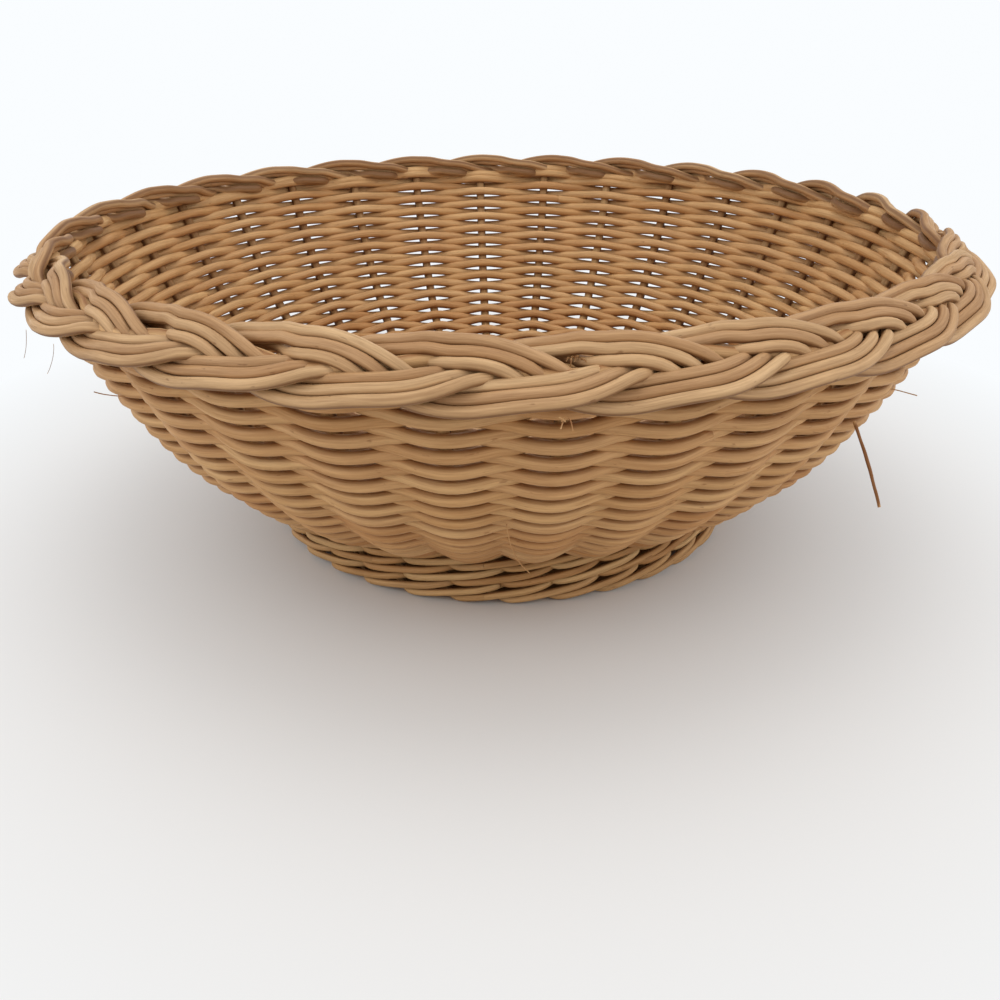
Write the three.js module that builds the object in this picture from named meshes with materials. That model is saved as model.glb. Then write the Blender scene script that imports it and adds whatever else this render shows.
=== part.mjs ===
import * as THREE from "three";

// A shallow round fruit basket of rattan cane, in millimetres, +Z up.
// Its origin is the middle of the foot ring, on the surface that the basket stands on.
// Long rods cross at the base and turn up as the stakes of the wall. Weavers go in front of
// one stake and behind the next, a three strand plait closes the rim, and a ring of waled
// canes on staples makes the foot.

// Canes
const STAKE_D = 3.0; // rods of the base, which are the stakes of the wall
const WEAVER_D = 3.0; // weavers of base and wall
const PLAIT_D = 2.4; // canes of the plait
const WALE_D = 2.5; // canes of the foot ring
const STAPLE_D = 2.4; // staples that the foot ring is woven on
const CLEAR = 0.3; // least space between canes that bear on each other
const BUTT = 1.2; // space between the cut ends of two lengths of one cane

// Base
const RODS_EACH_WAY = 8; // rods side by side each way across the base, always even
const ROD_GAP = 0.4; // space between rods lying side by side
const HUB_MARGIN = 7.6; // how far the rods stay parallel past the crossing
const BINDER_TURNS = 1.25; // turns of the cane that binds the crossing
const FAN_R = 37.5; // where the pairs of rods have fanned out evenly
const BASE_WEAVE_R = 39.5; // innermost row of the base
const BASE_ROW_GAP = 1.0; // space between rows of the base

// Wall, as the line that the middle of each stake follows
const BASE_R = 78.6; // where base turns into wall
const WALL_R = 139.6; // upper end of the stakes
const WALL_RISE = 71.4; // from the base up to that end
const LEAVE_ANGLE = 26; // slope at the base, degrees
const LEAVE_REACH = 30;
const RIM_ANGLE = 61; // slope at the rim, degrees
const RIM_REACH = 41;
const WALL_BENDS = 5; // straight stretches along a stake
const WALL_ROW_GAP = 0.78; // space between rows of the wall
const RIM_MARGIN = 1.5; // bare stretch of the stakes above the last row
const LENGTHS_PER_WEAVER = 3; // each weaver is pieced from this many canes

// Foot ring
const FOOT_HEIGHT = 15.2;
const FOOT_INSET = 2.4; // from the start of the wall in to the circle of the staples' legs

// Plait
const BIGHT_LENGTH = 29.9; // along the rim from one outer bend of a strand to the next strand's
const PLAIT_TILT = 41; // how far the plait's outer edge leans down, degrees
const PLAIT_SHIFT = 0.6; // how far the plait's middle lies outside the stakes' ends
const PLAIT_SWING = 3.11 * PLAIT_D; // sideways swing of a strand
const PLAIT_RISE = 1.54 * PLAIT_D; // rise and dip of a strand as it goes over and under
const PLAIT_DIP = 0.16; // share of its rise that a cane has dipped by where it lies on the stakes
const PLAIT_LANE = 1.18 * PLAIT_D; // from cane to cane of one strand
const PLAIT_LEAD = 0.115; // how much sooner an outer cane of a strand dips, radians
const PLAIT_CREST = 1.17; // above 1 narrows the crests of a strand
const BENDS_PER_WAVE = 6;

// What follows from the sizes
const TAU = 2 * Math.PI;
const RODS = 2 * RODS_EACH_WAY;
const SPOKES = 2 * RODS;
const SPOKE_ANGLE = TAU / SPOKES;
const ROD_PITCH = STAKE_D + ROD_GAP;
const HUB_HALF = (RODS_EACH_WAY * ROD_PITCH) / 2;
const FOOT_R = BASE_R - FOOT_INSET;
const PART_R = FOOT_R - (STAPLE_D + WEAVER_D) / 2 - 3 * CLEAR; // where the rods of a pair part

// How far a zigzagging cane swings to each side to clear the others by a given reach. The others
// are spaced evenly, and each is one rod, or a pair whose middles are the given width apart.
function swing(reach, spacing, width = 0) {
  const flat = 1 - width / spacing;
  const steep = (2 * reach) / spacing;
  return reach / Math.sqrt(flat * flat - steep * steep);
}

const WEAVE_REACH = (STAKE_D + WEAVER_D) / 2 + CLEAR;
const BASE_Z = FOOT_HEIGHT + CLEAR + WEAVER_D / 2 + swing(WEAVE_REACH, BASE_R * SPOKE_ANGLE);

const material = (name, colour, roughness) =>
  new THREE.MeshStandardMaterial({ name, color: colour, roughness, metalness: 0, flatShading: true });
const STAKE_CANE = material("stake_cane", 0x9c7146, 0.62);
const WEAVER_CANE = material("weaver_cane", 0xa97f53, 0.58);
const PLAIT_CANE = material("plait_cane", 0xb78f63, 0.55);
const FOOT_CANE = material("foot_cane", 0x8f6a42, 0.64);

const basket = new THREE.Group();
basket.name = "wicker_fruit_basket";

// A cane with a four sided section along a path of bends. Each bend has its place and the way
// that one corner of the section faces; turned by an eighth, a flat side faces that way.
function cane(name, path, diameter, finish, flat = false) {
  const sides = 4;
  const vertices = [];
  const faces = [];
  path.forEach(({ at, face }, i) => {
    const before = i > 0 ? at.clone().sub(path[i - 1].at).normalize() : null;
    const after = i < path.length - 1 ? path[i + 1].at.clone().sub(at).normalize() : null;
    const along = (before ?? after).clone().add(after ?? before).normalize();
    const out = face.clone().addScaledVector(along, -face.dot(along)).normalize();
    const side = new THREE.Vector3().crossVectors(along, out);
    const bend = before && after ? after.clone().sub(before) : new THREE.Vector3();
    const mitre = before && after ? 1 / along.dot(after) - 1 : 0;
    if (bend.length() > 1e-6) bend.normalize();
    for (let k = 0; k < sides; k++) {
      const turn = TAU * ((k + (flat ? 0.5 : 0)) / sides);
      const offset = out.clone().multiplyScalar((Math.cos(turn) * diameter) / 2);
      offset.addScaledVector(side, (Math.sin(turn) * diameter) / 2);
      offset.addScaledVector(bend, offset.dot(bend) * mitre);
      vertices.push(...offset.add(at).toArray());
    }
    if (i === 0) return;
    const ring = i * sides;
    for (let k = 0; k < sides; k++) {
      const next = (k + 1) % sides;
      faces.push(ring - sides + k, ring - sides + next, ring + next);
      faces.push(ring - sides + k, ring + next, ring + k);
    }
  });
  const last = (path.length - 1) * sides;
  for (let k = 1; k < sides - 1; k++) {
    faces.push(0, k + 1, k);
    faces.push(last, last + k, last + k + 1);
  }
  const geometry = new THREE.BufferGeometry();
  geometry.setAttribute("position", new THREE.Float32BufferAttribute(vertices, 3));
  geometry.setIndex(faces);
  geometry.computeVertexNormals();
  const mesh = new THREE.Mesh(geometry, finish);
  mesh.name = name;
  basket.add(mesh);
}

// A point and a direction in the upright plane through the axis at an angle about it
const around = (angle, r, z) => new THREE.Vector3(r * Math.cos(angle), r * Math.sin(angle), z);

// Moves the end of a path back along its last stretch
function trim(path, amount) {
  const end = path[path.length - 1];
  const previous = path[path.length - 2];
  const back = previous.at.clone().sub(end.at).setLength(amount);
  path[path.length - 1] = { at: end.at.clone().add(back), face: end.face };
}

// Profile of the wall
const wallStart = new THREE.Vector2(BASE_R, BASE_Z);
const wallEnd = new THREE.Vector2(WALL_R, BASE_Z + WALL_RISE);
const slope = (degrees) => {
  const angle = THREE.MathUtils.degToRad(degrees);
  return new THREE.Vector2(Math.cos(angle), Math.sin(angle));
};
const wallCurve = new THREE.CubicBezierCurve(
  wallStart,
  wallStart.clone().addScaledVector(slope(LEAVE_ANGLE), LEAVE_REACH),
  wallEnd.clone().addScaledVector(slope(RIM_ANGLE), -RIM_REACH),
  wallEnd,
);
const wallPoints = wallCurve.getSpacedPoints(WALL_BENDS);
const wallLength = wallCurve.getLength();

// Place on the stakes' line at a distance up the wall, and the way out of the wall there
function wallAt(distance) {
  const part = (distance / wallLength) * WALL_BENDS;
  const index = Math.min(Math.max(Math.floor(part), 0), WALL_BENDS - 1);
  const from = wallPoints[index];
  const to = wallPoints[index + 1];
  const t = part - index;
  const point = from.clone().lerp(to, t);
  const before = wallPoints[Math.max(index - 1, 0)];
  const after = wallPoints[Math.min(index + 2, WALL_BENDS)];
  const tangent = to.clone().sub(before).lerp(after.clone().sub(from), t).normalize();
  return { r: point.x, z: point.y, outR: tangent.y, outZ: -tangent.x };
}

// Where a line that runs beside a bent one, at an offset to its left, has its own bend
function besideBend(x, y, offset, headingBefore, headingAfter) {
  const left = (heading) => new THREE.Vector2(-Math.sin(heading), Math.cos(heading));
  const before = left(headingBefore);
  const after = left(headingAfter);
  const share = offset / (1 + before.dot(after));
  return new THREE.Vector2(x, y).addScaledVector(before, share).addScaledVector(after, share);
}

// One end of a rod, drawn towards +X from its straight middle: it fans out beside its partner,
// parts from it before the wall and follows the wall to the rim. Lanes count from the middle.
function rodEnd(lane, level) {
  const pair = Math.sign(lane) * (2 * Math.floor(Math.abs(lane) / 2) + 1);
  const offset = (lane - pair) * ROD_PITCH;
  const pairAngle = pair * SPOKE_ANGLE;
  const hubX = HUB_HALF + HUB_MARGIN;
  const fan = new THREE.Vector2(FAN_R * Math.cos(pairAngle), FAN_R * Math.sin(pairAngle));
  const heading = Math.atan2(fan.y - pair * ROD_PITCH, fan.x - hubX);
  const partX = PART_R * Math.cos(pairAngle);
  const partY = PART_R * Math.sin(pairAngle);
  const up = new THREE.Vector3(0, 0, 1);
  const flat = (point, z) => ({ at: new THREE.Vector3(point.x, point.y, z), face: up });
  const path = [
    flat(besideBend(hubX, pair * ROD_PITCH, offset, 0, heading), BASE_Z + level),
    flat(besideBend(fan.x, fan.y, offset, heading, pairAngle), BASE_Z),
    flat(besideBend(partX, partY, offset, pairAngle, pairAngle), BASE_Z),
  ];
  const angle = lane * SPOKE_ANGLE;
  for (let i = 0; i <= WALL_BENDS; i++) {
    const { r, z, outR, outZ } = wallAt((i / WALL_BENDS) * wallLength);
    path.push({ at: around(angle, r, z), face: around(angle, -outR, -outZ) });
  }
  return path;
}

// A rod from rim to rim: the half towards -X mirrors the other, and the whole is turned about Z
function rod(name, lane, level, quarterTurns) {
  const turned = (vector, mirror) =>
    new THREE.Vector3(mirror * vector.x, vector.y, vector.z).applyAxisAngle(
      new THREE.Vector3(0, 0, 1),
      (quarterTurns * TAU) / 4,
    );
  const half = (mirror) =>
    rodEnd(lane, level).map(({ at, face }) => ({ at: turned(at, mirror), face: turned(face, mirror) }));
  cane(name, [...half(-1).reverse(), ...half(1)], STAKE_D, STAKE_CANE);
}

for (let i = 0; i < RODS; i++) {
  const upper = i >= RODS_EACH_WAY;
  const lane = (i % RODS_EACH_WAY) - (RODS_EACH_WAY - 1) / 2;
  const level = ((upper ? 1 : -1) * (STAKE_D + CLEAR)) / 2;
  rod(`rod_${upper ? "upper" : "lower"}_${(i % RODS_EACH_WAY) + 1}`, lane, level, upper ? 1 : 0);
}

// The binder goes round the crossing in a square, over the lower rods and under the upper ones
{
  const path = [];
  const sidesMade = Math.round(BINDER_TURNS * 4);
  for (let i = 0; i <= sidesMade; i++) {
    const half = HUB_HALF + (WEAVER_D / 2 + CLEAR) + (i * (WEAVER_D + CLEAR)) / 4;
    for (const nudge of [-1, 1]) {
      const overLower = (i + (nudge < 0 ? 1 : 0)) % 2 === 1;
      const z = BASE_Z + (overLower ? 1 : -1) * (WEAVE_REACH - (STAKE_D + CLEAR) / 2);
      const angle = (i * TAU) / 4 + TAU / 8 + (nudge * TAU) / 60;
      path.push({ at: around(angle, half * Math.SQRT2, z), face: new THREE.Vector3(0, 0, 1) });
    }
  }
  cane("hub_binder", path, WEAVER_D, WEAVER_CANE);
}

// Base rows: two canes chase each other outwards over and under the pairs of rods
const basePitch = WEAVER_D + BASE_ROW_GAP;
const baseRows = (PART_R - BASE_WEAVE_R) / basePitch;
for (const chaser of [0, 1]) {
  const path = [];
  const steps = Math.floor(((baseRows - 1) * RODS) / 2);
  for (let i = 0; i <= steps; i++) {
    const r = BASE_WEAVE_R + basePitch * (chaser + (2 * i) / RODS);
    const up = ((i + chaser) % 2 ? 1 : -1) * swing(WEAVE_REACH, (r * TAU) / RODS, ROD_PITCH);
    const angle = TAU * ((i + 0.5) / RODS);
    path.push({ at: around(angle, r, BASE_Z + up), face: new THREE.Vector3(0, 0, 1) });
  }
  cane(`base_weaver_${chaser + 1}`, path, WEAVER_D, WEAVER_CANE);
}

// Wall rows: two canes chase each other up the wall, in front of one stake and behind the next
const wallPitch = WEAVER_D + WALL_ROW_GAP;
const firstRow = WEAVER_D / 2;
const wallRows = (wallLength - firstRow - WEAVER_D / 2 - RIM_MARGIN) / wallPitch;
for (const chaser of [0, 1]) {
  const steps = Math.floor(((wallRows - 1) * SPOKES) / 2);
  const bends = [];
  for (let i = 0; i <= steps; i++) {
    const { r, z, outR, outZ } = wallAt(firstRow + wallPitch * (chaser + (2 * i) / SPOKES));
    const out = ((i + chaser) % 2 ? 1 : -1) * swing(WEAVE_REACH, r * SPOKE_ANGLE);
    const angle = SPOKE_ANGLE * (i + 0.5);
    bends.push({ at: around(angle, r + out * outR, z + out * outZ), face: around(angle, outR, outZ) });
  }
  for (let k = 0; k < LENGTHS_PER_WEAVER; k++) {
    const from = Math.round((k * steps) / LENGTHS_PER_WEAVER);
    const to = Math.round(((k + 1) * steps) / LENGTHS_PER_WEAVER);
    const path = bends.slice(from, to + 1);
    if (k < LENGTHS_PER_WEAVER - 1) trim(path, BUTT);
    cane(`wall_weaver_${chaser ? "b" : "a"}${k + 1}`, path, WEAVER_D, WEAVER_CANE);
  }
}

// Foot: staples stand under the rods, and four canes are waled round their legs
const stapleHalf = (STAPLE_D / 2) * Math.SQRT1_2;
const legTop = BASE_Z - STAKE_D / 2 - CLEAR;
for (let i = 0; i < SPOKES / 2; i++) {
  const legs = [2 * i + 0.5, 2 * i + 1.5].map((k) => k * SPOKE_ANGLE);
  const face = around((legs[0] + legs[1]) / 2, 1, 0);
  const bend = (angle, z) => ({ at: around(angle, FOOT_R, z), face });
  const path = [
    bend(legs[0], legTop),
    bend(legs[0], stapleHalf),
    bend(legs[1], stapleHalf),
    bend(legs[1], legTop),
  ];
  cane(`foot_staple_${i + 1}`, path, STAPLE_D, FOOT_CANE, true);
}

const WALE_CANES = 4; // each goes outside three legs, climbing, and inside the fourth
const waleLow = 2 * stapleHalf + 2 * CLEAR + WALE_D / 2;
const waleHigh = FOOT_HEIGHT - WALE_D / 2;
const waleSwing = swing((STAPLE_D + WALE_D) / 2 + CLEAR, FOOT_R * SPOKE_ANGLE);
for (let i = 0; i < WALE_CANES; i++) {
  const path = [];
  for (let k = 0; k <= SPOKES; k++) {
    const stage = (k + i) % WALE_CANES;
    const inside = stage === 0;
    const climb = inside ? 0.5 : (stage - 1) / (WALE_CANES - 2);
    const angle = SPOKE_ANGLE * (k + 0.5);
    const r = FOOT_R + (inside ? -waleSwing : waleSwing);
    path.push({ at: around(angle, r, waleLow + climb * (waleHigh - waleLow)), face: around(angle, 1, 0) });
  }
  trim(path, BUTT);
  cane(`foot_wale_${i + 1}`, path, WALE_D, FOOT_CANE);
}

// Plait: three strands of three canes. A strand swings from edge to edge, over one strand and
// under the next, and each cane runs once round the rim to a cut end.
const STRANDS = 3;
const CANES_PER_STRAND = 3;
const tilt = THREE.MathUtils.degToRad(PLAIT_TILT);
const plaitSeat = (PLAIT_D + STAKE_D) / 2 + CLEAR + PLAIT_DIP * PLAIT_RISE;
const plaitR = WALL_R + PLAIT_SHIFT * Math.cos(tilt) + plaitSeat * Math.sin(tilt);
const plaitZ = wallEnd.y - PLAIT_SHIFT * Math.sin(tilt) + plaitSeat * Math.cos(tilt);
const waves = Math.round((TAU * plaitR) / (STRANDS * BIGHT_LENGTH));
for (let strand = 0; strand < STRANDS; strand++) {
  for (let lane = 0; lane < CANES_PER_STRAND; lane++) {
    const place = lane - (CANES_PER_STRAND - 1) / 2;
    const path = [];
    for (let i = 0; i <= waves * BENDS_PER_WAVE; i++) {
      const phase = (i * TAU) / BENDS_PER_WAVE;
      const dip = Math.sin(2 * (phase + PLAIT_LEAD * place * Math.cos(phase)));
      const rise = -PLAIT_RISE * Math.sign(dip) * Math.abs(dip) ** PLAIT_CREST;
      const across = PLAIT_SWING * Math.sin(phase) + place * PLAIT_LANE;
      const angle = (phase - (strand * TAU) / STRANDS) / waves;
      const r = plaitR + across * Math.cos(tilt) + rise * Math.sin(tilt);
      const z = plaitZ - across * Math.sin(tilt) + rise * Math.cos(tilt);
      path.push({ at: around(angle, r, z), face: around(angle, Math.sin(tilt), Math.cos(tilt)) });
    }
    trim(path, BUTT);
    cane(`plait_${strand + 1}_cane_${lane + 1}`, path, PLAIT_D, PLAIT_CANE);
  }
}

export default basket;
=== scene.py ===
"""A round wicker fruit basket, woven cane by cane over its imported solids, on a pale studio floor.

Every cane is a path of points that one tree of geometry nodes sweeps into a round, slightly
uneven cane. All lengths are in metres, with +Z up and the basket standing on z = 0.
"""

import bisect
import math
import random

import bpy
from bpy.props import FloatProperty, FloatVectorProperty, IntProperty, PointerProperty
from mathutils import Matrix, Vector


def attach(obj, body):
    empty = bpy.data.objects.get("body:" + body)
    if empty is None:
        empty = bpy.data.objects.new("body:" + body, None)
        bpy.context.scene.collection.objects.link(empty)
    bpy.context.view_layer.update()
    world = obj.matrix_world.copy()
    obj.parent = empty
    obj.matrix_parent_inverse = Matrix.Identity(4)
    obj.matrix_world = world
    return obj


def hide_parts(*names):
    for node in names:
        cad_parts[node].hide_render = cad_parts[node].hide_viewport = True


bl_info = {
    "name": "Wicker Fruit Basket",
    "version": (1, 0, 0),
    "blender": (4, 5, 0),
    "location": "3D View > Sidebar > Basket",
    "description": "Weaves a round cane fruit basket over its packed solids",
    "category": "Object",
}

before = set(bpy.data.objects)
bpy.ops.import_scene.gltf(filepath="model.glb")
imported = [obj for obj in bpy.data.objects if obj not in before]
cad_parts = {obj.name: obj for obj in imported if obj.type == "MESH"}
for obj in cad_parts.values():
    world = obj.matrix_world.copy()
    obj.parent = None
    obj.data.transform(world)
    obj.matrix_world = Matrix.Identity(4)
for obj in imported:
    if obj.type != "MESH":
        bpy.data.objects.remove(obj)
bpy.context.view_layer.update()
CAD_NODES = sorted(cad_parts)

RODS_EACH_WAY = 8
RODS = 2 * RODS_EACH_WAY
SPOKES = 2 * RODS
SPOKE_ANGLE = math.tau / SPOKES
STRANDS = 3

# Radius of the innermost row of the base
FIRST_ROW = 0.0232
# Rods that a base weaver has passed where it becomes a wall weaver
BASE_UNITS = 145.75
# How deep the wall's weavers press into the stakes
PRESS = 0.00075
# How far the stakes and the last row of the wall reach past the wall's line, under the plait
STAKE_REACH = 0.0040
LAST_ROW_REACH = 0.0042
# Degrees by which the stakes at the back stand off their even places: all of them, and how much
# more on the right and less on the left
BACK_SHIFT = 1.9
BACK_SPREAD = 4.0

STAPLE = 0.0024
# Height of the middle of the staples' lowest run
STAPLE_LOW = 0.0014
# The rows of the foot step up at the back
FOOT_START = 8 * SPOKE_ANGLE
FOOT_ROWS = 3
FOOT_CANES = 3
# One stroke of a foot cane, which comes out low, rises past two legs and goes in behind the third:
# how far on (legs), how far out (from a leg's middle to a cane's that touches it), how high (canes)
FOOT_STROKE = (
    (0.0, -1.1, 0.0),
    (0.35, -0.4, -0.8),
    (0.62, 0.9, -1.0),
    (1.0, 1.4, -0.55),
    (1.5, 1.4, 0.0),
    (2.0, 1.4, 0.55),
    (2.35, 0.9, 0.95),
    (2.6, -0.4, 0.75),
)

# Loose fibres, in mm: where each starts (degrees from the front, radius, height), where it heads
# and where it ends
SPLIT_STRAND = (((46.0, 130.5, 64.5), (4.3, -5.0, -10.5), (6.6, -10.2, -20.6)),)
HAIRS = (
    ((0.5, 122.5, 50.0), (0.3, 2.0, -9.0), (6.0, 7.0, -18.0)),
    ((50.6, 133.0, 71.5), (4.0, -0.5, -0.4), (9.0, -0.8, -1.8)),
    ((-47.7, 133.0, 71.0), (-4.0, 0.2, -0.4), (-9.6, 0.5, 1.2)),
)
FINE_HAIRS = (
    ((-55.2, 151.0, 88.0), (0.0, -1.0, -3.0), (-1.2, -2.0, -7.0)),
    ((-51.5, 147.0, 86.0), (0.0, -1.0, -3.5), (-2.6, -1.5, -7.5)),
)
# Places of frayed ends on the rim, and how many fibres stick out of each
FRAYED = ((6.2, 139.5, 97.5, 6), (5.0, 151.0, 88.5, 5))

BACKDROP = (0.955, 0.98, 1.0)
# Painted shade on the floor inside the foot
SHADED_FLOOR = (0.26, 0.125, 0.045)

FINISHES = {
    "stake_cane": {"redness": 0.35, "gloss": 0.4},
    "weaver_cane": {"redness": 0.40, "gloss": 0.5},
    "plait_cane": {"redness": 0.15, "gloss": 0.6},
    "foot_cane": {"redness": 0.40, "gloss": 0.35},
}
# Powers for red, green and blue that make the canes of a slot deeper or paler in colour
DEPTHS = {
    "stake_cane": (1.25, 1.2, 1.2),
    "weaver_cane": (0.80, 0.915, 1.00),
    "plait_cane": (1.02, 1.02, 1.0),
    "foot_cane": (0.98, 1.03, 1.10),
}


# Settings


def length(name, default, description):
    return FloatProperty(
        name=name,
        description=description,
        default=default,
        min=0,
        precision=5,
        unit="LENGTH",
        subtype="DISTANCE",
    )


def angle(name, default, description):
    """An angle whose default is given in degrees"""
    return FloatProperty(
        name=name,
        description=description,
        default=math.radians(default),
        unit="ROTATION",
        subtype="ANGLE",
    )


def colour(name, default, description):
    return FloatVectorProperty(
        name=name,
        description=description,
        default=default,
        size=3,
        min=0,
        max=1,
        subtype="COLOR",
    )


def power(name, default, description):
    return FloatProperty(
        name=name, description=description, default=default, min=0, unit="POWER"
    )


class BasketSizes(bpy.types.PropertyGroup):
    """Sizes of the basket"""

    stake: length("Stake", 0.0036, "Thickness of the rods of the base, which rise as stakes")
    weaver: length("Weaver", 0.00345, "Thickness of the canes woven through the base and the wall")
    plait: length("Plait cane", 0.00285, "Thickness of the canes of the rim")
    foot_cane: length("Foot cane", 0.00225, "Thickness of the canes waled round the foot")
    row_pitch: length("Row pitch", 0.00278, "From one row of the weave to the next")
    rod_pitch: length("Rod pitch", 0.0034, "From one rod to the next where they cross")
    hub_margin: length("Hub margin", 0.0076, "How far the rods stay parallel past the crossing")
    fan_radius: length("Fan radius", 0.0375, "Where the pairs of rods have fanned out evenly")
    part_radius: length("Parting radius", 0.0700, "Where the rods of a pair part")
    base_radius: length("Base radius", 0.0786, "Where the base turns into the wall")
    base_height: length("Base height", 0.02066, "Height of the base's middle")
    wall_radius: length("Wall radius", 0.1396, "Radius at the upper end of the wall's line")
    wall_rise: length("Wall rise", 0.0714, "Height of that end above the base")
    leave_angle: angle("Slope at the base", 16.5, "Slope of the wall where it leaves the base")
    leave_reach: length("Reach at the base", 0.0365, "How long the wall keeps that slope")
    rim_angle: angle("Slope at the rim", 67, "Slope of the wall under the rim")
    rim_reach: length("Reach at the rim", 0.022, "How long the wall keeps that slope")
    foot_radius: length("Foot radius", 0.0762, "Circle of the staples' legs")
    plait_radius: length("Plait radius", 0.1437, "Circle of the plait's middle")
    plait_height: length("Plait height", 0.0953, "Height of the plait's middle")
    plait_tilt: angle("Plait tilt", 41, "How far the plait's outer edge leans down")
    plait_turn: angle("Plait turn", 6.6, "How far round the rim a strand starts")
    plait_swing: length("Plait swing", 0.0056, "Sideways swing of a strand")
    plait_rise: length("Plait rise", 0.0019, "Rise and dip of a strand over and under the others")
    bights: IntProperty(
        name="Bights", description="Outer bends of strands round the rim", default=27, min=6
    )


class BasketFinish(bpy.types.PropertyGroup):
    """Colours of the canes and light of the stage"""

    cane_pale: colour("Pale cane", (0.650, 0.425, 0.212), "Palest cane")
    cane_mid: colour("Cane", (0.455, 0.250, 0.102), "Usual cane")
    cane_red: colour("Reddish cane", (0.350, 0.150, 0.055), "Reddest cane")
    # Real pits and cracks, and also the painted shade in the creases
    cane_dark: colour("Dark cane", (0.140, 0.050, 0.009), "Pits, cracks and creases")
    floor: colour("Floor", (0.64, 0.595, 0.55), "Colour of the floor")
    key_power: power("Key light", 3.9, "Power of the light above")
    side_power: power("Side lights", 4.2, "Power of each light beside")
    sky: FloatProperty(
        name="Surround", description="Strength of the even light around", default=0.74, min=0
    )


# Node trees


class Value:
    """One output of a node. Arithmetic on it adds Math nodes to its tree."""

    def __init__(self, nodes, node, socket):
        self.nodes, self.node, self.socket = nodes, node, socket

    def __getitem__(self, key):
        return Value(self.nodes, self.node, self.node.outputs[key])

    def math(self, operation, *values):
        return self.nodes.add("ShaderNodeMath", {"operation": operation}, dict(enumerate(values)))

    def __add__(self, other):
        return self.math("ADD", self, other)

    def __radd__(self, other):
        return self.math("ADD", other, self)

    def __sub__(self, other):
        return self.math("SUBTRACT", self, other)

    def __rsub__(self, other):
        return self.math("SUBTRACT", other, self)

    def __mul__(self, other):
        return self.math("MULTIPLY", self, other)

    def __rmul__(self, other):
        return self.math("MULTIPLY", other, self)

    def __truediv__(self, other):
        return self.math("DIVIDE", self, other)

    def __pow__(self, other):
        return self.math("POWER", self, other)

    def __abs__(self):
        return self.math("ABSOLUTE", self)

    def fraction(self):
        return self.math("FRACT", self)

    def clamp(self):
        return self.nodes.add("ShaderNodeClamp", None, {0: self})

    def between(self, low, high, smooth=True):
        """0 below low, 1 above high"""
        settings = {"interpolation_type": "SMOOTHSTEP" if smooth else "LINEAR"}
        return self.nodes.add("ShaderNodeMapRange", settings, {0: self, 1: low, 2: high})


class Nodes:
    """A node tree that is being built"""

    def __init__(self, tree):
        self.tree = tree

    def add(self, kind, settings=None, sockets=None):
        """A new node with these settings, and with values or other nodes' outputs at its sockets"""
        node = self.tree.nodes.new(kind)
        for name, value in (settings or {}).items():
            setattr(node, name, value)
        for key, value in (sockets or {}).items():
            if isinstance(value, Value):
                self.tree.links.new(value.socket, node.inputs[key])
            else:
                node.inputs[key].default_value = value
        return Value(self, node, node.outputs[0]) if node.outputs else node

    def vector(self, x, y, z):
        return self.add("ShaderNodeCombineXYZ", None, {0: x, 1: y, 2: z})

    def vector_math(self, operation, sockets):
        return self.add("ShaderNodeVectorMath", {"operation": operation}, sockets)

    def noise(self, place, scale, detail, roughness=0.5):
        sockets = {"Vector": place, "Scale": scale, "Detail": detail, "Roughness": roughness}
        return self.add("ShaderNodeTexNoise", None, sockets)

    def mix(self, factor, first, second):
        sockets = {0: factor, 6: first, 7: second}
        return self.add("ShaderNodeMix", {"data_type": "RGBA"}, sockets)[2]

    def attribute(self, name):
        """An attribute of the mesh, in a material"""
        return self.add("ShaderNodeAttribute", {"attribute_name": name})

    def named(self, name, kind="FLOAT"):
        """An attribute of the points, in geometry nodes"""
        return self.add("GeometryNodeInputNamedAttribute", {"data_type": kind}, {"Name": name})

    def store(self, geometry, name, value, kind="FLOAT"):
        """The geometry with the value kept as an attribute of its points"""
        settings = {"data_type": kind, "domain": "POINT"}
        sockets = {"Geometry": geometry, "Name": name, "Value": value}
        return self.add("GeometryNodeStoreNamedAttribute", settings, sockets)

    def seen(self):
        """1 for the rays that show the background: the camera's, and those off or through skins"""
        path = self.add("ShaderNodeLightPath")
        rays = path["Is Camera Ray"] + path["Is Glossy Ray"] + path["Is Transmission Ray"]
        return rays.clamp()


def rgba(shade):
    return (*shade, 1.0)


# Finish


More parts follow.
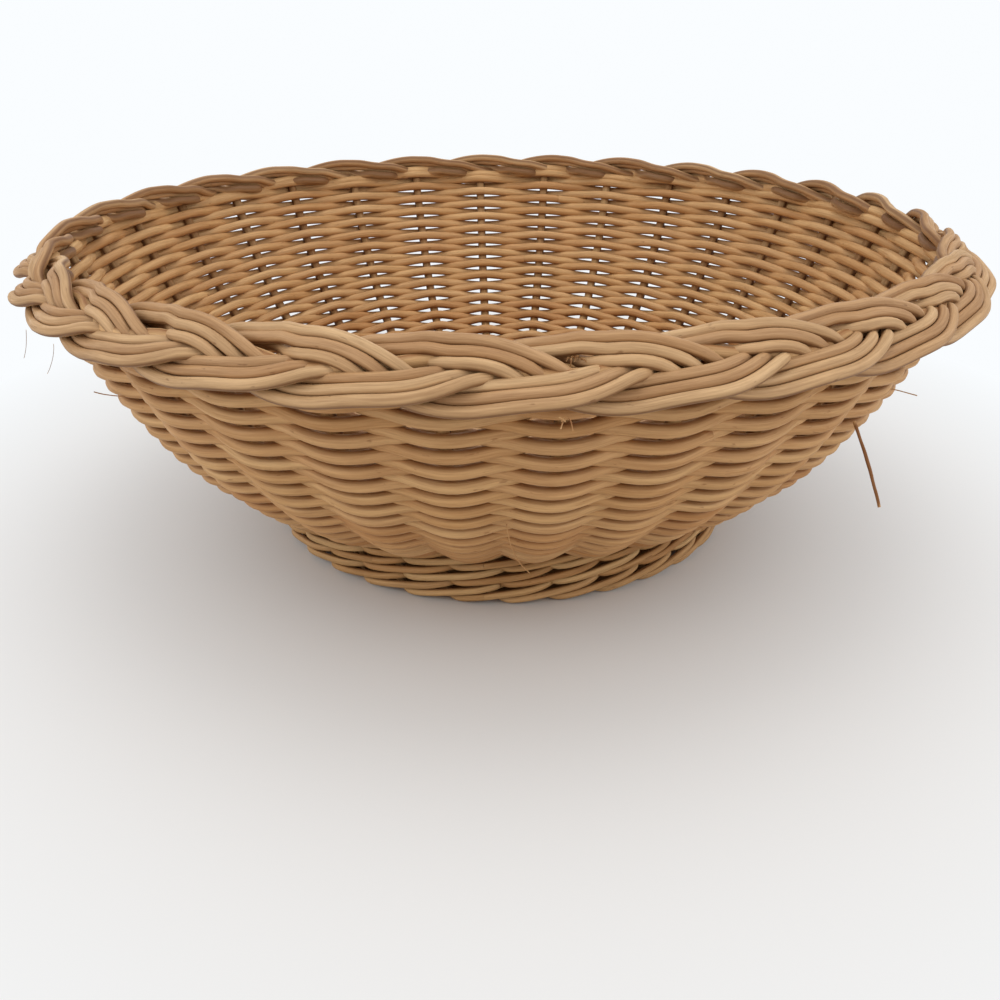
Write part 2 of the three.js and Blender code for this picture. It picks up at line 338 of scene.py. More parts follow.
def cane_finish(name, pale, mid, red, dark, redness, gloss):
    """Natural round cane: long fibres, blotches along each length and its own tone.

    Each cane carries its tone, its length so far and its place in the section, so the fibres
    follow it round every bend. Shade is painted on it, darker where it lies against its neighbours.
    """
    material = bpy.data.materials.new(name)
    material.use_nodes = True
    tree = material.node_tree
    tree.nodes.clear()
    nodes = Nodes(tree)
    tone = nodes.attribute("tone")["Fac"]
    along = nodes.attribute("along")["Fac"]
    lay = nodes.add("ShaderNodeSeparateXYZ", None, {0: nodes.attribute("lay")["Vector"]})
    # Painted shade in the creases between canes
    crease = nodes.attribute("crease")["Fac"].between(0.36, 0.96)

    def grain(stretch, shift, spread, scale, detail, roughness):
        """Noise along the cane and over its section, drawn out along it where stretch is small"""
        place = along * stretch + tone * 7.3 + shift
        place = nodes.vector(place, lay["X"] * spread, lay["Y"] * spread)
        return nodes.noise(place, scale, detail, roughness)["Fac"]

    fine = grain(stretch=0.05, shift=0, spread=1, scale=2600, detail=3, roughness=0.62)
    broad = grain(stretch=0.06, shift=3, spread=1, scale=700, detail=2, roughness=0.5)
    blotch = grain(stretch=1, shift=0, spread=2, scale=55, detail=3, roughness=0.55)
    drift = grain(stretch=1, shift=9, spread=0, scale=9, detail=1, roughness=0.5)
    pit = grain(stretch=0.6, shift=0, spread=2, scale=420, detail=2, roughness=0.6)
    pit = pit.between(0.66, 0.78)
    streaks = broad.between(0.36, 0.66) * 0.55 + fine.between(0.34, 0.64) * 0.45

    paleness = (tone + drift * 0.9 + blotch * 0.6 - 0.75).clamp()
    warmth = ((tone * 91.7).fraction() * 0.8 + blotch * 0.7 - 1.05 + redness).clamp()
    body = nodes.mix(paleness, rgba(mid), rgba(pale))
    body = nodes.mix(warmth * 0.8, body, rgba(red))
    # Streaks and pits of the grain darken the cane, and painted shade darkens its creases
    for share in (0.42 - streaks * 0.42, pit * 0.55, crease * 0.84):
        body = nodes.mix(share, body, rgba(dark))
    height = streaks * 0.7 + blotch * 0.25 - pit * 0.4
    relief = {"Strength": 0.45, "Distance": 0.00022, "Height": height}
    skin = {
        "Base Color": body,
        "Roughness": 0.72 - gloss * 0.34 * streaks,
        "Normal": nodes.add("ShaderNodeBump", None, relief),
        "Specular IOR Level": 0.42,
    }
    skin = nodes.add("ShaderNodeBsdfPrincipled", None, skin)
    nodes.add("ShaderNodeOutputMaterial", None, {0: skin})
    return material


def basket_finish(slot):
    """The finish of a slot, made when first asked for"""
    name = slot.replace("_", " ")
    if name in bpy.data.materials:
        return bpy.data.materials[name]
    shades, depth = bpy.context.scene.basket_finish, DEPTHS[slot]
    tones = [
        [value**power for value, power in zip(shade, depth)]
        for shade in (shades.cane_pale, shades.cane_mid, shades.cane_red, shades.cane_dark)
    ]
    return cane_finish(name, *tones, **FINISHES[slot])


# Canes


def cane_tree():
    """Geometry nodes that sweep round canes along the polylines of a mesh"""
    tree = bpy.data.node_groups.new("Canes", "GeometryNodeTree")
    inputs = (
        ("Geometry", "NodeSocketGeometry", None),
        ("Diameter", "NodeSocketFloat", 0.003),
        ("Sides", "NodeSocketInt", 12),
        ("Unevenness", "NodeSocketFloat", 0.06),
        ("Wander", "NodeSocketFloat", 0.0002),
        ("Wander Length", "NodeSocketFloat", 0.02),
        ("Seed", "NodeSocketInt", 1),
        ("Finish", "NodeSocketMaterial", None),
    )
    for name, kind, default in inputs:
        socket = tree.interface.new_socket(name, in_out="INPUT", socket_type=kind)
        if default is not None:
            socket.default_value = default
    tree.interface.new_socket("Geometry", in_out="OUTPUT", socket_type="NodeSocketGeometry")
    nodes = Nodes(tree)
    entry = nodes.add("NodeGroupInput")
    tone = nodes.named("tone")
    path = nodes.add("GeometryNodeMeshToCurve", None, {"Mesh": entry["Geometry"]})
    path = nodes.store(path, "along", nodes.add("GeometryNodeSplineParameter")["Length"])

    # Each cane strays a little from its path
    wave = nodes.named("along") / entry["Wander Length"]
    spot = nodes.vector(wave, tone * 311 + entry["Seed"], 0)
    stray = nodes.noise(spot, 1.0, 1)["Color"]
    stray = nodes.vector_math("SUBTRACT", {0: stray, 1: (0.5, 0.5, 0.5)})
    stray = nodes.vector_math("SCALE", {0: stray, "Scale": entry["Wander"] * 2})
    path = nodes.add("GeometryNodeSetPosition", None, {"Geometry": path, "Offset": stray})

    # Its section keeps its own place as an attribute, and grows and shrinks along it
    section = {"Resolution": entry["Sides"], "Radius": entry["Diameter"] / 2}
    ring = nodes.add("GeometryNodeCurvePrimitiveCircle", {"mode": "RADIUS"}, section)
    ring = nodes.store(ring, "lay", nodes.add("GeometryNodeInputPosition"), "FLOAT_VECTOR")
    spot = nodes.vector(wave, tone * 173 + entry["Seed"], 5)
    girth = nodes.noise(spot, 1.4, 1)["Fac"]
    girth = 1 + (girth - 0.5) * entry["Unevenness"] * 2
    lines = {"Curve": path, "Profile Curve": ring, "Scale": girth, "Fill Caps": True}
    swept = nodes.add("GeometryNodeCurveToMesh", None, lines)
    swept = nodes.add("GeometryNodeSetShadeSmooth", None, {"Geometry": swept})

    # Its skin is in a crease where it faces neither way out of the weave, and gets painted shade
    # there
    ways = {0: nodes.add("GeometryNodeInputNormal"), 1: nodes.named("open", "FLOAT_VECTOR")}
    swept = nodes.store(swept, "crease", 1 - abs(nodes.vector_math("DOT_PRODUCT", ways)["Value"]))
    swept = nodes.add("GeometryNodeRealizeInstances", None, {"Geometry": swept})
    dressed = {"Geometry": swept, "Material": entry["Finish"]}
    nodes.add("NodeGroupOutput", None, {0: nodes.add("GeometryNodeSetMaterial", None, dressed)})
    return tree


def path_object(name, canes, open_way):
    """A mesh of one polyline for each cane. A cane is its points and its tone.

    open_way gives the way out of the weave at a point, in which a cane has no neighbour.
    """
    points, edges, tones = [], [], []
    for path, tone in canes:
        first = len(points)
        points.extend(path)
        edges.extend((i, i + 1) for i in range(first, len(points) - 1))
        tones.extend([tone] * len(path))
    mesh = bpy.data.meshes.new(name)
    mesh.from_pydata(points, edges, [])
    mesh.attributes.new("tone", "FLOAT", "POINT").data.foreach_set("value", tones)
    # The way out of the weave, from which the painted shade in the creases is found
    ways = [value for point in points for value in open_way(point)]
    mesh.attributes.new("open", "FLOAT_VECTOR", "POINT").data.foreach_set("vector", ways)
    piece = bpy.data.objects.new(name, mesh)
    bpy.context.scene.collection.objects.link(piece)
    return piece


def made_mesh(source, name):
    """Turns a piece with its modifiers into a plain mesh object of that name"""
    depsgraph = bpy.context.evaluated_depsgraph_get()
    mesh = bpy.data.meshes.new_from_object(
        source.evaluated_get(depsgraph), preserve_all_data_layers=True, depsgraph=depsgraph
    )
    old = source.data
    bpy.data.objects.remove(source)
    bpy.data.meshes.remove(old)
    mesh.name = name
    piece = bpy.data.objects.new(name, mesh)
    bpy.context.scene.collection.objects.link(piece)
    return piece


def sweep(name, canes, open_way, slot, diameter, sides, unevenness, wander, wander_length, seed):
    """Sweeps canes along their paths and returns them as one plain mesh object"""
    tree = bpy.data.node_groups.get("Canes") or cane_tree()
    source = path_object(name + "_paths", canes, open_way)
    modifier = source.modifiers.new("Canes", "NODES")
    modifier.node_group = tree
    values = {
        "Diameter": diameter,
        "Sides": sides,
        "Unevenness": unevenness,
        "Wander": wander,
        "Wander Length": wander_length,
        "Seed": seed,
        "Finish": basket_finish(slot),
    }
    for item in tree.interface.items_tree:
        if item.in_out == "INPUT" and item.name in values:
            modifier[item.identifier] = values[item.name]
    return made_mesh(source, name)


def seat(piece, slot, *nodes):
    """The piece stands for these solids and rides on the basket. The slot is not used."""
    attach(piece, "root")
    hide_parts(*nodes)


def solids(prefix):
    found = [name for name in CAD_NODES if name.startswith(prefix)]
    if not found:
        raise RuntimeError(f"no solid is named {prefix}")
    return found


# Paths


def around(turn, radius, height):
    return Vector((radius * math.cos(turn), radius * math.sin(turn), height))


def leaning(slope):
    """A function for the way out of a sheet that rises outwards at a slope, at each point of it"""

    def way(point):
        outwards = Vector((point.x, point.y, 0)).normalized()
        return outwards * math.sin(slope) + Vector((0, 0, -math.cos(slope)))

    return way


def ease(value, low, high):
    """0 below low, 1 above high"""
    share = min(1, max(0, (value - low) / (high - low)))
    return share * share * (3 - 2 * share)


def hand_set(path):
    """Moves a woven path with the stakes, which stand a little wider apart at the back"""
    moved = []
    for point in path:
        radius = math.hypot(point.x, point.y)
        turn = math.atan2(point.y, point.x)
        drift = -math.radians(BACK_SHIFT + BACK_SPREAD * math.cos(turn)) * (1 + math.sin(turn)) / 2
        moved.append(around(turn + drift * ease(radius, 0.03, 0.07), radius, point.z))
    return moved


def lengths(path, pieces, rng):
    """Cuts a path into so many lengths, at uneven places"""
    step = len(path) / pieces
    cuts = [int((k + rng.uniform(-0.25, 0.25)) * step) for k in range(1, pieces)]
    cuts = [0, *cuts, len(path)]
    return [path[a : b + 1] for a, b in zip(cuts, cuts[1:])]


def smooth(points, steps):
    """A curve through the points, in even steps between each two"""
    ends = [points[0] * 2 - points[1], *points, points[-1] * 2 - points[-2]]
    path = []
    for a, b, c, d in zip(ends, ends[1:], ends[2:], ends[3:]):
        for i in range(steps):
            t = i / steps
            curve = 2 * b + (c - a) * t + (2 * a - 5 * b + 4 * c - d) * t * t
            path.append(0.5 * (curve + (3 * b - a - 3 * c + d) * t**3))
    return [*path, points[-1]]


def last_below(values, value):
    """The place of the last of some rising values that isn't above a value, short of their end"""
    return min(bisect.bisect_right(values, value) - 1, len(values) - 2)


class Wall:
    """The line that the middle of each stake follows up the wall"""

    STEPS = 400

    def __init__(self, sizes):
        start = Vector((sizes.base_radius, sizes.base_height))
        end = start + Vector((sizes.wall_radius - sizes.base_radius, sizes.wall_rise))
        leaving = Vector((math.cos(sizes.leave_angle), math.sin(sizes.leave_angle)))
        arriving = Vector((math.cos(sizes.rim_angle), math.sin(sizes.rim_angle)))
        leave = start + leaving * sizes.leave_reach
        arrive = end - arriving * sizes.rim_reach
        self.points = []
        for i in range(self.STEPS + 1):
            t = i / self.STEPS
            near = start * (1 - t) ** 3 + leave * (3 * t * (1 - t) ** 2)
            self.points.append(near + arrive * (3 * t * t * (1 - t)) + end * t**3)
        self.radii = [point.x for point in self.points]
        self.reached = [0.0]
        for before, after in zip(self.points, self.points[1:]):
            self.reached.append(self.reached[-1] + (after - before).length)
        self.length = self.reached[-1]

    def at(self, distance):
        """Radius and height at a distance up the wall, and the way out of the wall there"""
        if distance < 0:
            point = self.points[0]
            return point.x + distance, point.y, 0.0, -1.0
        if distance > self.length:
            way = (self.points[-1] - self.points[-2]).normalized()
            point = self.points[-1] + way * (distance - self.length)
            return point.x, point.y, way.y, -way.x
        low = last_below(self.reached, distance)
        span = self.reached[low + 1] - self.reached[low]
        share = (distance - self.reached[low]) / span
        point = self.points[low].lerp(self.points[low + 1], share)
        way = (self.points[low + 1] - self.points[low]).normalized()
        return point.x, point.y, way.y, -way.x

    def way_out(self, point):
        """The way out of the base or the wall at a point in it"""
        radius = math.hypot(point.x, point.y)
        if radius < self.radii[0]:
            return Vector((0, 0, -1))
        low = last_below(self.radii, radius)
        along = self.points[low + 1] - self.points[low]
        return leaning(math.atan2(along.y, along.x))(point)


def beside(point, offset, before, after):
    """Where a line beside a bent one, at an offset to its left, has its own bend"""
    first = Vector((-math.sin(before), math.cos(before)))
    second = Vector((-math.sin(after), math.cos(after)))
    return point + (first + second) * (offset / (1 + first.dot(second)))


def rod_end(sizes, wall, lane, level):
    """One end of a rod, towards +X: straight over the crossing, fanned out, then up the wall"""
    pair = math.copysign(2 * (int(abs(lane)) // 2) + 1, lane)
    offset = (lane - pair) * sizes.rod_pitch
    turn = pair * SPOKE_ANGLE
    hub = Vector((RODS_EACH_WAY * sizes.rod_pitch / 2 + sizes.hub_margin, pair * sizes.rod_pitch))
    fan = around(turn, sizes.fan_radius, 0).to_2d()
    part = around(turn, sizes.part_radius, 0).to_2d()
    heading = math.atan2(fan.y - hub.y, fan.x - hub.x)
    marks = [
        Vector((0.0, lane * sizes.rod_pitch, level)),
        Vector((hub.x * 0.5, lane * sizes.rod_pitch, level)),
        beside(hub, offset, 0, heading).to_3d() + Vector((0, 0, level)),
        beside((hub + fan) / 2, offset, heading, heading).to_3d() + Vector((0, 0, level * 0.5)),
        beside(fan, offset, heading, turn).to_3d(),
        beside((fan + part) / 2, offset, turn, turn).to_3d(),
        beside(part, offset, turn, turn).to_3d(),
    ]
    for mark in marks:
        mark.z += sizes.base_height
    steps = 16
    distances = [wall.length * i / steps for i in range(steps + 1)]
    for distance in (*distances, wall.length + STAKE_REACH):
        radius, height, _, _ = wall.at(distance)
        marks.append(around(lane * SPOKE_ANGLE, radius, height))
    return marks


def fibre(root, lean, tip):
    """A fibre's path from its root, which is a turn from the front, a radius and a height in mm"""
    turn, radius, height = root
    start = around(math.radians(turn - 90), radius, height)
    heading, end = start + Vector(lean), start + Vector(tip)
    steps = 16
    path = []
    for i in range(steps + 1):
        t = i / steps
        path.append((start * (1 - t) ** 2 + heading * (2 * t * (1 - t)) + end * t * t) * 0.001)
    return path


# Pieces


class BASKET_OT_rods(bpy.types.Operator):
    """Crosses the rods in the base and turns them up as the stakes of the wall"""

    bl_idname = "basket.rods"
    bl_label = "Rods and Stakes"

    def execute(self, context):
        sizes, wall = context.scene.basket_sizes, Wall(context.scene.basket_sizes)
        rng = random.Random(3)
        gap = 0.00005
        for layer, quarter in (("lower", 0), ("upper", 1)):
            level = (sizes.stake / 2 + gap) * (1 if quarter else -1)
            canes = []
            for i in range(RODS_EACH_WAY):
                lane = i - (RODS_EACH_WAY - 1) / 2
                half = rod_end(sizes, wall, lane, level)
                mirrored = [Vector((-p.x, p.y, p.z)) for p in half[:0:-1]]
                path = smooth(mirrored + half, 5)
                if quarter:
                    path = [Vector((-p.y, p.x, p.z)) for p in path]
                canes.append((hand_set(path), rng.random()))
            piece = sweep(
                f"rods_{layer}",
                canes,
                wall.way_out,
                "stake_cane",
                diameter=sizes.stake,
                sides=12,
                unevenness=0.05,
                wander=0.00012,
                wander_length=0.03,
                seed=11 + quarter,
            )
            seat(piece, "stake_cane", *solids(f"rod_{layer}_"))
        return {"FINISHED"}


class BASKET_OT_base(bpy.types.Operator):
    """Binds the crossing and weaves the rows of the base over pairs of rods"""

    bl_idname = "basket.base"
    bl_label = "Base"

    def execute(self, context):
        sizes = context.scene.basket_sizes
        rng = random.Random(5)
        self.bind(sizes)
        canes = []
        for chaser in (0, 1):
            path = hand_set(self.rows(sizes, chaser))
            canes += [(part, rng.random()) for part in lengths(path, 5, rng)]
        piece = sweep(
            "base_weave",
            canes,
            leaning(0),
            "weaver_cane",
            diameter=sizes.weaver,
            sides=10,
            unevenness=0.07,
            wander=0.00015,
            wander_length=0.02,
            seed=23,
        )
        seat(piece, "weaver_cane", *solids("base_weaver_"))
        return {"FINISHED"}

    def bind(self, sizes):
        """Lays the binder round the crossing, along six of its sides one after the other"""
        marks = []
        for side in range(6):
            half = RODS_EACH_WAY * sizes.rod_pitch / 2 + sizes.weaver / 2
            half += side * sizes.weaver / 4
            for nudge in (-1, 1):
                over = (side + (nudge < 0)) % 2 == 1
                height = sizes.base_height + (1 if over else -1) * sizes.weaver / 2
                turn = side * math.tau / 4 + math.tau / 8 + nudge * math.tau / 60
                marks.append(around(turn, half * math.sqrt(2), height))
        piece = sweep(
            "crossing_binder",
            [(smooth(marks, 8), 0.5)],
            leaning(0),
            "weaver_cane",
            diameter=sizes.weaver,
            sides=12,
            unevenness=0.05,
            wander=0.0001,
            wander_length=0.02,
            seed=21,
        )
        seat(piece, "weaver_cane", "hub_binder")

    def rows(self, sizes, chaser):
        """The path of one of the two base weavers, which goes over one pair and under the next"""
        reach = (sizes.stake + sizes.weaver) / 2
        steps = 12
        path = []
        for i in range(int(BASE_UNITS * steps) + 1):
            unit = i / steps
            radius = FIRST_ROW + sizes.row_pitch * (chaser + 2 * unit / RODS)
            index = int(unit)
            here = self.pair_turn(sizes, index, radius)
            following = self.pair_turn(sizes, index + 1, radius)
            share = unit - index
            rise = (-1 if (index + chaser) % 2 else 1) * math.cos(math.pi * share)
            rise = math.copysign(min(1.0, abs(rise) * 1.25) ** 0.85, rise)
            turn = here + (following - here) * share
            path.append(around(turn, radius, sizes.base_height + reach * rise))
        return path

    def pair_turn(self, sizes, index, radius):
        """Where a row at a radius meets the pair of rods of an index, counted on round by round"""
        rounds, index = divmod(index, RODS)
        quarter, place = divmod(index, RODS // 4)
        pair = 2 * place - 3
        turn = pair * SPOKE_ANGLE
        hub_half = RODS_EACH_WAY * sizes.rod_pitch / 2
        hub = Vector((hub_half + sizes.hub_margin, pair * sizes.rod_pitch))
        if radius <= hub.length:
            turn = math.asin(hub.y / radius)
        elif radius < sizes.fan_radius:
            fan = around(turn, sizes.fan_radius, 0).to_2d()
            share = (radius - hub.length) / (sizes.fan_radius - hub.length)
            met = hub.lerp(fan, share)
            turn = math.atan2(met.y, met.x)
        return turn + quarter * math.tau / 4 + rounds * math.tau


class BASKET_OT_wall(bpy.types.Operator):
    """Weaves two canes that chase each other up the wall, before one stake and behind the next"""

    bl_idname = "basket.wall"
    bl_label = "Wall"

    def execute(self, context):
        sizes, wall = context.scene.basket_sizes, Wall(context.scene.basket_sizes)
        rng = random.Random(8)
        bands = {}
        for chaser, letter in enumerate("ab"):
            parts = lengths(hand_set(self.rows(sizes, wall, chaser)), 12, rng)
            third = len(parts) / 3
            for k in range(3):
                band = parts[round(k * third) : round((k + 1) * third)]
                bands[f"{letter}{k + 1}"] = band
        for band, paths in bands.items():
            piece = sweep(
                f"wall_weave_{band}",
                [(path, rng.random()) for path in paths],
                wall.way_out,
                "weaver_cane",
                diameter=sizes.weaver,
                sides=10,
                unevenness=0.06,
                wander=0.00015,
                wander_length=0.024,
                seed=31,
            )
            seat(piece, "weaver_cane", f"wall_weaver_{band}")
        return {"FINISHED"}

    def rows(self, sizes, wall, chaser):
        """The path of one of the two wall weavers, which goes on where the base weaver ends"""
        first = FIRST_ROW + 2 * BASE_UNITS / RODS * sizes.row_pitch - sizes.base_radius
        last = wall.length + LAST_ROW_REACH
        reach = (sizes.stake + sizes.weaver) / 2 - PRESS
        steps = 12
        path = []
        for i in range(int(((last - first) / sizes.row_pitch + 1) / 2 * SPOKES * steps) + 1):
            unit = i / steps
            # The last turn stays level, close under the rim
            level = last - sizes.row_pitch * (1 - chaser)
            distance = min(first + sizes.row_pitch * (chaser + 2 * unit / SPOKES), level)
            slack = 0.00013 * math.sin(unit * 1.37 + chaser * 2.1)
            slack += 0.00012 * math.sin(unit * 0.41 + 1.3 * chaser)
            radius, height, out_r, out_z = wall.at(distance + slack)
            # The bulge round a stake is wider outside than inside
            swing = math.cos(math.pi * unit) * (1 if chaser else -1)
            swing = math.copysign(abs(swing) ** (1.2 if swing > 0 else 2.0), swing) * reach
            turn = SPOKE_ANGLE * (unit + 0.5)
            path.append(around(turn, radius + swing * out_r, height + swing * out_z))
        return path


class BASKET_OT_foot(bpy.types.Operator):
    """Sets the staples under the base and wales three canes round their legs"""

    bl_idname = "basket.foot"
    bl_label = "Ring Foot"

    def execute(self, context):
        sizes = context.scene.basket_sizes
        rng = random.Random(13)
        staples = [
            (hand_set(smooth(self.staple(sizes, i), 5)), rng.random()) for i in range(SPOKES // 2)
        ]
        piece = sweep(
            "foot_staples",
            staples,
            leaning(math.tau / 4),
            "foot_cane",
            diameter=STAPLE,
            sides=10,
            unevenness=0.04,
            wander=0.00005,
            wander_length=0.02,
            seed=41,
        )
        seat(piece, "foot_cane", *solids("foot_staple_"))

        canes = []
        for strand in range(FOOT_CANES):
            path = hand_set(smooth(self.waling(sizes, strand), 3))
            canes += [(part, rng.random()) for part in lengths(path, 6, rng)]
        piece = sweep(
            "foot_waling",
            canes,
            leaning(math.tau / 4),
            "foot_cane",
            diameter=sizes.foot_cane,
            sides=12,
            unevenness=0.06,
            wander=0.00015,
            wander_length=0.02,
            seed=43,
        )
        seat(piece, "foot_cane", *solids("foot_wale_"))
        return {"FINISHED"}

    def staple(self, sizes, index):
        """A cane bent to a U, down from the base, along near the floor, and up again"""
        top = sizes.base_height - sizes.stake / 2
        one, two = ((2 * index + k) * SPOKE_ANGLE for k in (0.5, 1.5))
        corner, corner_rise = SPOKE_ANGLE * 0.12, 0.0022
        places = (
            (one, top),
            (one, top * 0.5),
            (one, STAPLE_LOW + corner_rise),
            (one + corner, STAPLE_LOW),
            ((one + two) / 2, STAPLE_LOW),
            (two - corner, STAPLE_LOW),
            (two, STAPLE_LOW + corner_rise),
            (two, top * 0.5),
            (two, top),
        )
        return [around(turn, sizes.foot_radius, height) for turn, height in places]

    def waling(self, sizes, strand):
        """One of the canes that go round the legs together, in rows that step up at the back"""
        thick = sizes.foot_cane
        aside = (STAPLE + thick) / 2
        row_height, middle = 2.38 * thick, 1.6 * thick + 0.0001
        marks = []
        for stage in range(-FOOT_CANES - strand, SPOKES * FOOT_ROWS - FOOT_CANES, FOOT_CANES):
            for on, out, rise in FOOT_STROKE:
                unit = stage + on
                row, place = divmod(max(0.0, unit), SPOKES)
                stepped = row + ease(place, SPOKES - FOOT_CANES, SPOKES)
                height = middle + row_height * stepped + rise * thick
                turn = FOOT_START + SPOKE_ANGLE * (unit + 0.5)
                marks.append(around(turn, sizes.foot_radius + out * aside, height))
        return marks


class BASKET_OT_plait(bpy.types.Operator):
    """Plaits three strands of three canes round the rim"""

    bl_idname = "basket.plait"
    bl_label = "Plaited Rim"

    def execute(self, context):
        sizes = context.scene.basket_sizes
        rng = random.Random(21)
        up = leaning(math.pi - sizes.plait_tilt)
        cosine, sine = math.cos(sizes.plait_tilt), math.sin(sizes.plait_tilt)

        def open_way(point):
            """The way out of the plait, shorter where a cane lies deep under others, so painted
            shade darkens it more there
            """
            way = up(point)
            depth = sizes.plait_radius * sine + sizes.plait_height * cosine - point.dot(way)
            return way * (1 - 0.65 * ease(depth, 0.0012, 0.0045))

        for strand in range(STRANDS):
            piece = sweep(
                f"rim_plait_{strand + 1}",
                [(self.course(sizes, strand, lane), rng.random()) for lane in (-1, 0, 1)],
                open_way,
                "plait_cane",
                diameter=sizes.plait,
                sides=14,
                unevenness=0.06,
                wander=0.0002,
                wander_length=0.03,
                seed=51 + strand,
            )
            seat(piece, "plait_cane", *solids(f"plait_{strand + 1}_cane_"))
        return {"FINISHED"}

    def course(self, sizes, strand, lane):
        """The path of one cane round the rim. Lane -1, 0 or 1 is its place in its strand."""
        waves = round(sizes.bights / STRANDS)
        lead = sizes.plait_radius / waves
        cosine, sine = math.cos(sizes.plait_tilt), math.sin(sizes.plait_tilt)
        steps = 60
        path = []
        for i in range(waves * steps + 1):
            phase = math.pi / 4 + i * math.tau / steps
            # Before an inner bend the outermost cane slips under the others
            bend = (phase + math.pi) % math.tau - math.pi
            slipping = ease(bend, -2.9, -2.3)
            slip = slipping * (1 - ease(bend, -1.62, -1.12))
            place = lane * sizes.plait * (0.98 - 0.12 * slip)
            if lane > 0:
                place *= 1 - 1.1 * slipping * (1 - ease(bend, -1.85, -1.35))
            drift = sizes.plait_swing * (math.cos(phase) + 0.39 * math.cos(3 * phase))
            slant = math.hypot(lead, drift)
            across = sizes.plait_swing * (math.sin(phase) + 0.13 * math.sin(3 * phase))
            across += place * lead / slant
            across -= 0.0017 * slip
            lag = -place * drift / slant
            # Over one strand and under the next
            dip = 2 * (math.sin(phase) + place / (2 * sizes.plait_swing)) * math.cos(phase)
            dip *= 1 + 0.5 * math.cos(2 * phase)
            rise = -sizes.plait_rise * math.tanh(1.9 * dip)
            if lane > 0:
                rise -= 0.0031 * slipping * (1 - ease(bend, -1.6, -1.2))
            turn = sizes.plait_turn + (phase - strand * math.tau / STRANDS) / waves
            turn += lag / sizes.plait_radius
            radius = sizes.plait_radius + across * cosine + rise * sine
            height = sizes.plait_height - across * sine + rise * cosine
            path.append(around(turn, radius, height))
        return path


class BASKET_OT_fibres(bpy.types.Operator):
    """Hangs the split strand and the loose fibres that stick out of the weave"""

    bl_idname = "basket.fibres"
    bl_label = "Loose Fibres"

    def execute(self, context):
        rng = random.Random(34)
        hairs = list(HAIRS)
        for turn, radius, height, count in FRAYED:
            for _ in range(count):
                root = (turn + rng.uniform(-0.9, 0.9), radius + rng.uniform(-0.8, 0.8), height)
                tip = (rng.uniform(-1.2, 1.2), rng.uniform(-1.6, -0.4), rng.uniform(-2.4, 1.0))
                hairs.append((root, (tip[0] * 0.3, tip[1] * 0.7, 0.8), tip))
        for name, courses, diameter, wander in (
            ("split_strand", SPLIT_STRAND, 0.0009, 0.0003),
            ("loose_hairs", hairs, 0.0003, 0.0004),
            ("fine_hairs", FINE_HAIRS, 0.00012, 0.0004),
        ):
            piece = sweep(
                name,
                [(fibre(*course), 0.2 + rng.random() * 0.8) for course in courses],
                leaning(0.6),
                "weaver_cane",
                diameter=diameter,
                sides=7,
                unevenness=0.3,
                wander=wander,
                wander_length=0.01,
                seed=61,
            )
            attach(piece, "root")
        return {"FINISHED"}


# Stage


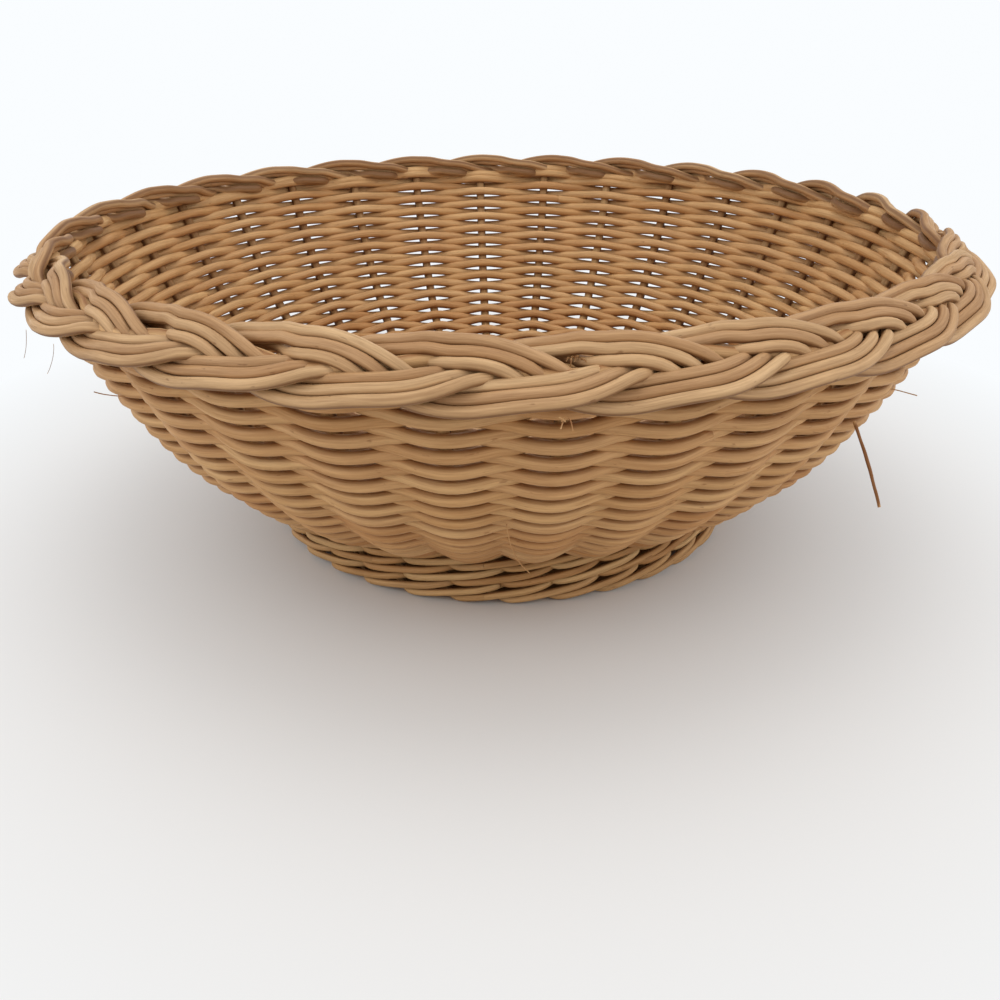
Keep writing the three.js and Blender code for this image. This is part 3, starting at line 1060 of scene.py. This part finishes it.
class BASKET_OT_stage(bpy.types.Operator):
    """Lays the floor, and sets the lights and the camera"""

    bl_idname = "basket.stage"
    bl_label = "Stage"

    def execute(self, context):
        scene, shades = context.scene, context.scene.basket_finish
        self.floor(scene, shades)
        self.surround(scene, shades)
        centre = (0, 0, 0.05)
        self.lamp(scene, "key", (0, 0.05, 1.25), centre, 0.9, shades.key_power)
        self.lamp(scene, "left", (-1.05, -0.55, 0.65), centre, 0.9, shades.side_power)
        self.lamp(scene, "right", (1.05, -0.55, 0.65), centre, 0.9, shades.side_power)

        lens = bpy.data.cameras.new("camera")
        lens.sensor_width = 36
        lens.lens = 36.7
        lens.shift_x = -0.002
        lens.clip_start = 0.01
        camera = bpy.data.objects.new("camera", lens)
        camera.location = (0, -0.34415, 0.16466)
        camera.rotation_euler = (math.radians(64), 0, 0)
        scene.collection.objects.link(camera)
        scene.camera = camera
        scene.view_settings.view_transform = "Standard"
        return {"FINISHED"}

    def floor(self, scene, shades):
        half = 6.0
        corners = [(-half, -half, 0), (half, -half, 0), (half, half, 0), (-half, half, 0)]
        mesh = bpy.data.meshes.new("floor")
        mesh.from_pydata(corners, [], [(0, 1, 2, 3)])
        floor = bpy.data.objects.new("floor", mesh)
        scene.collection.objects.link(floor)
        floor.data.materials.append(self.floor_finish(shades.floor))

    def floor_finish(self, shade):
        """A plain floor round the basket that turns into the white of the backdrop further off"""
        material = bpy.data.materials.new("floor")
        material.use_nodes = True
        material.node_tree.nodes.clear()
        nodes = Nodes(material.node_tree)
        spot = nodes.add("ShaderNodeTexCoord")["Object"]
        place = nodes.add("ShaderNodeSeparateXYZ", None, {0: spot})
        oval = nodes.vector(place["X"] * 1.1, place["Y"] * 0.9, 0)
        far = nodes.vector_math("LENGTH", {0: oval})["Value"].between(0.071, 0.29, False)
        # Painted shade: the floor inside the foot is darkened in its colour, where no daylight
        # reaches
        under = 1 - nodes.vector_math("LENGTH", {0: spot})["Value"].between(0.072, 0.079)
        tint = nodes.mix(under, rgba(shade), rgba(SHADED_FLOOR))
        plain = nodes.add("ShaderNodeBsdfDiffuse", None, {0: tint})
        bright = nodes.add("ShaderNodeEmission", None, {0: rgba(BACKDROP), 1: 1.0})
        # The backdrop's white stays off the painted shade inside the foot
        share = far**0.85 * (1 - under) * nodes.seen()
        mixed = nodes.add("ShaderNodeMixShader", None, {0: share, 1: plain, 2: bright})
        nodes.add("ShaderNodeOutputMaterial", None, {0: mixed})
        return material

    def surround(self, scene, shades):
        """Even light all round, and the backdrop where it is seen"""
        world = bpy.data.worlds.new("Surround")
        scene.world = world
        world.use_nodes = True
        world.node_tree.nodes.clear()
        nodes = Nodes(world.node_tree)
        shown = nodes.add("ShaderNodeBackground", None, {0: rgba(BACKDROP), 1: 1.0})
        light = nodes.add("ShaderNodeBackground", None, {0: rgba((1.0, 1.0, 1.0)), 1: shades.sky})
        mixed = nodes.add("ShaderNodeMixShader", None, {0: nodes.seen(), 1: light, 2: shown})
        nodes.add("ShaderNodeOutputWorld", None, {0: mixed})

    def lamp(self, scene, name, place, target, size, strength):
        light = bpy.data.lights.new(name, "AREA")
        light.shape = "DISK"
        light.size = size
        light.energy = strength
        lamp = bpy.data.objects.new(name, light)
        lamp.location = place
        aim = Vector(target) - Vector(place)
        lamp.rotation_euler = aim.to_track_quat("-Z", "Y").to_euler()
        scene.collection.objects.link(lamp)


# Add-on


class BASKET_PT_panel(bpy.types.Panel):
    """Lists the basket's pieces, sizes and finish"""

    bl_label = "Basket"
    bl_idname = "BASKET_PT_panel"
    bl_space_type = "VIEW_3D"
    bl_region_type = "UI"
    bl_category = "Basket"

    def draw(self, context):
        for operator in OPERATORS:
            self.layout.operator(operator.bl_idname)
        for group in (context.scene.basket_sizes, context.scene.basket_finish):
            box = self.layout.box()
            for name in group.__annotations__:
                box.prop(group, name)


OPERATORS = (
    BASKET_OT_rods,
    BASKET_OT_base,
    BASKET_OT_wall,
    BASKET_OT_foot,
    BASKET_OT_plait,
    BASKET_OT_fibres,
    BASKET_OT_stage,
)
CLASSES = (BasketSizes, BasketFinish, *OPERATORS, BASKET_PT_panel)


def register():
    for item in CLASSES:
        bpy.utils.register_class(item)
    bpy.types.Scene.basket_sizes = PointerProperty(type=BasketSizes)
    bpy.types.Scene.basket_finish = PointerProperty(type=BasketFinish)


def unregister():
    del bpy.types.Scene.basket_finish
    del bpy.types.Scene.basket_sizes
    for item in reversed(CLASSES):
        bpy.utils.unregister_class(item)


def main():
    register()
    bpy.ops.basket.rods()
    bpy.ops.basket.base()
    bpy.ops.basket.wall()
    bpy.ops.basket.foot()
    bpy.ops.basket.plait()
    bpy.ops.basket.fibres()
    bpy.ops.basket.stage()


if __name__ == "__main__":
    main()
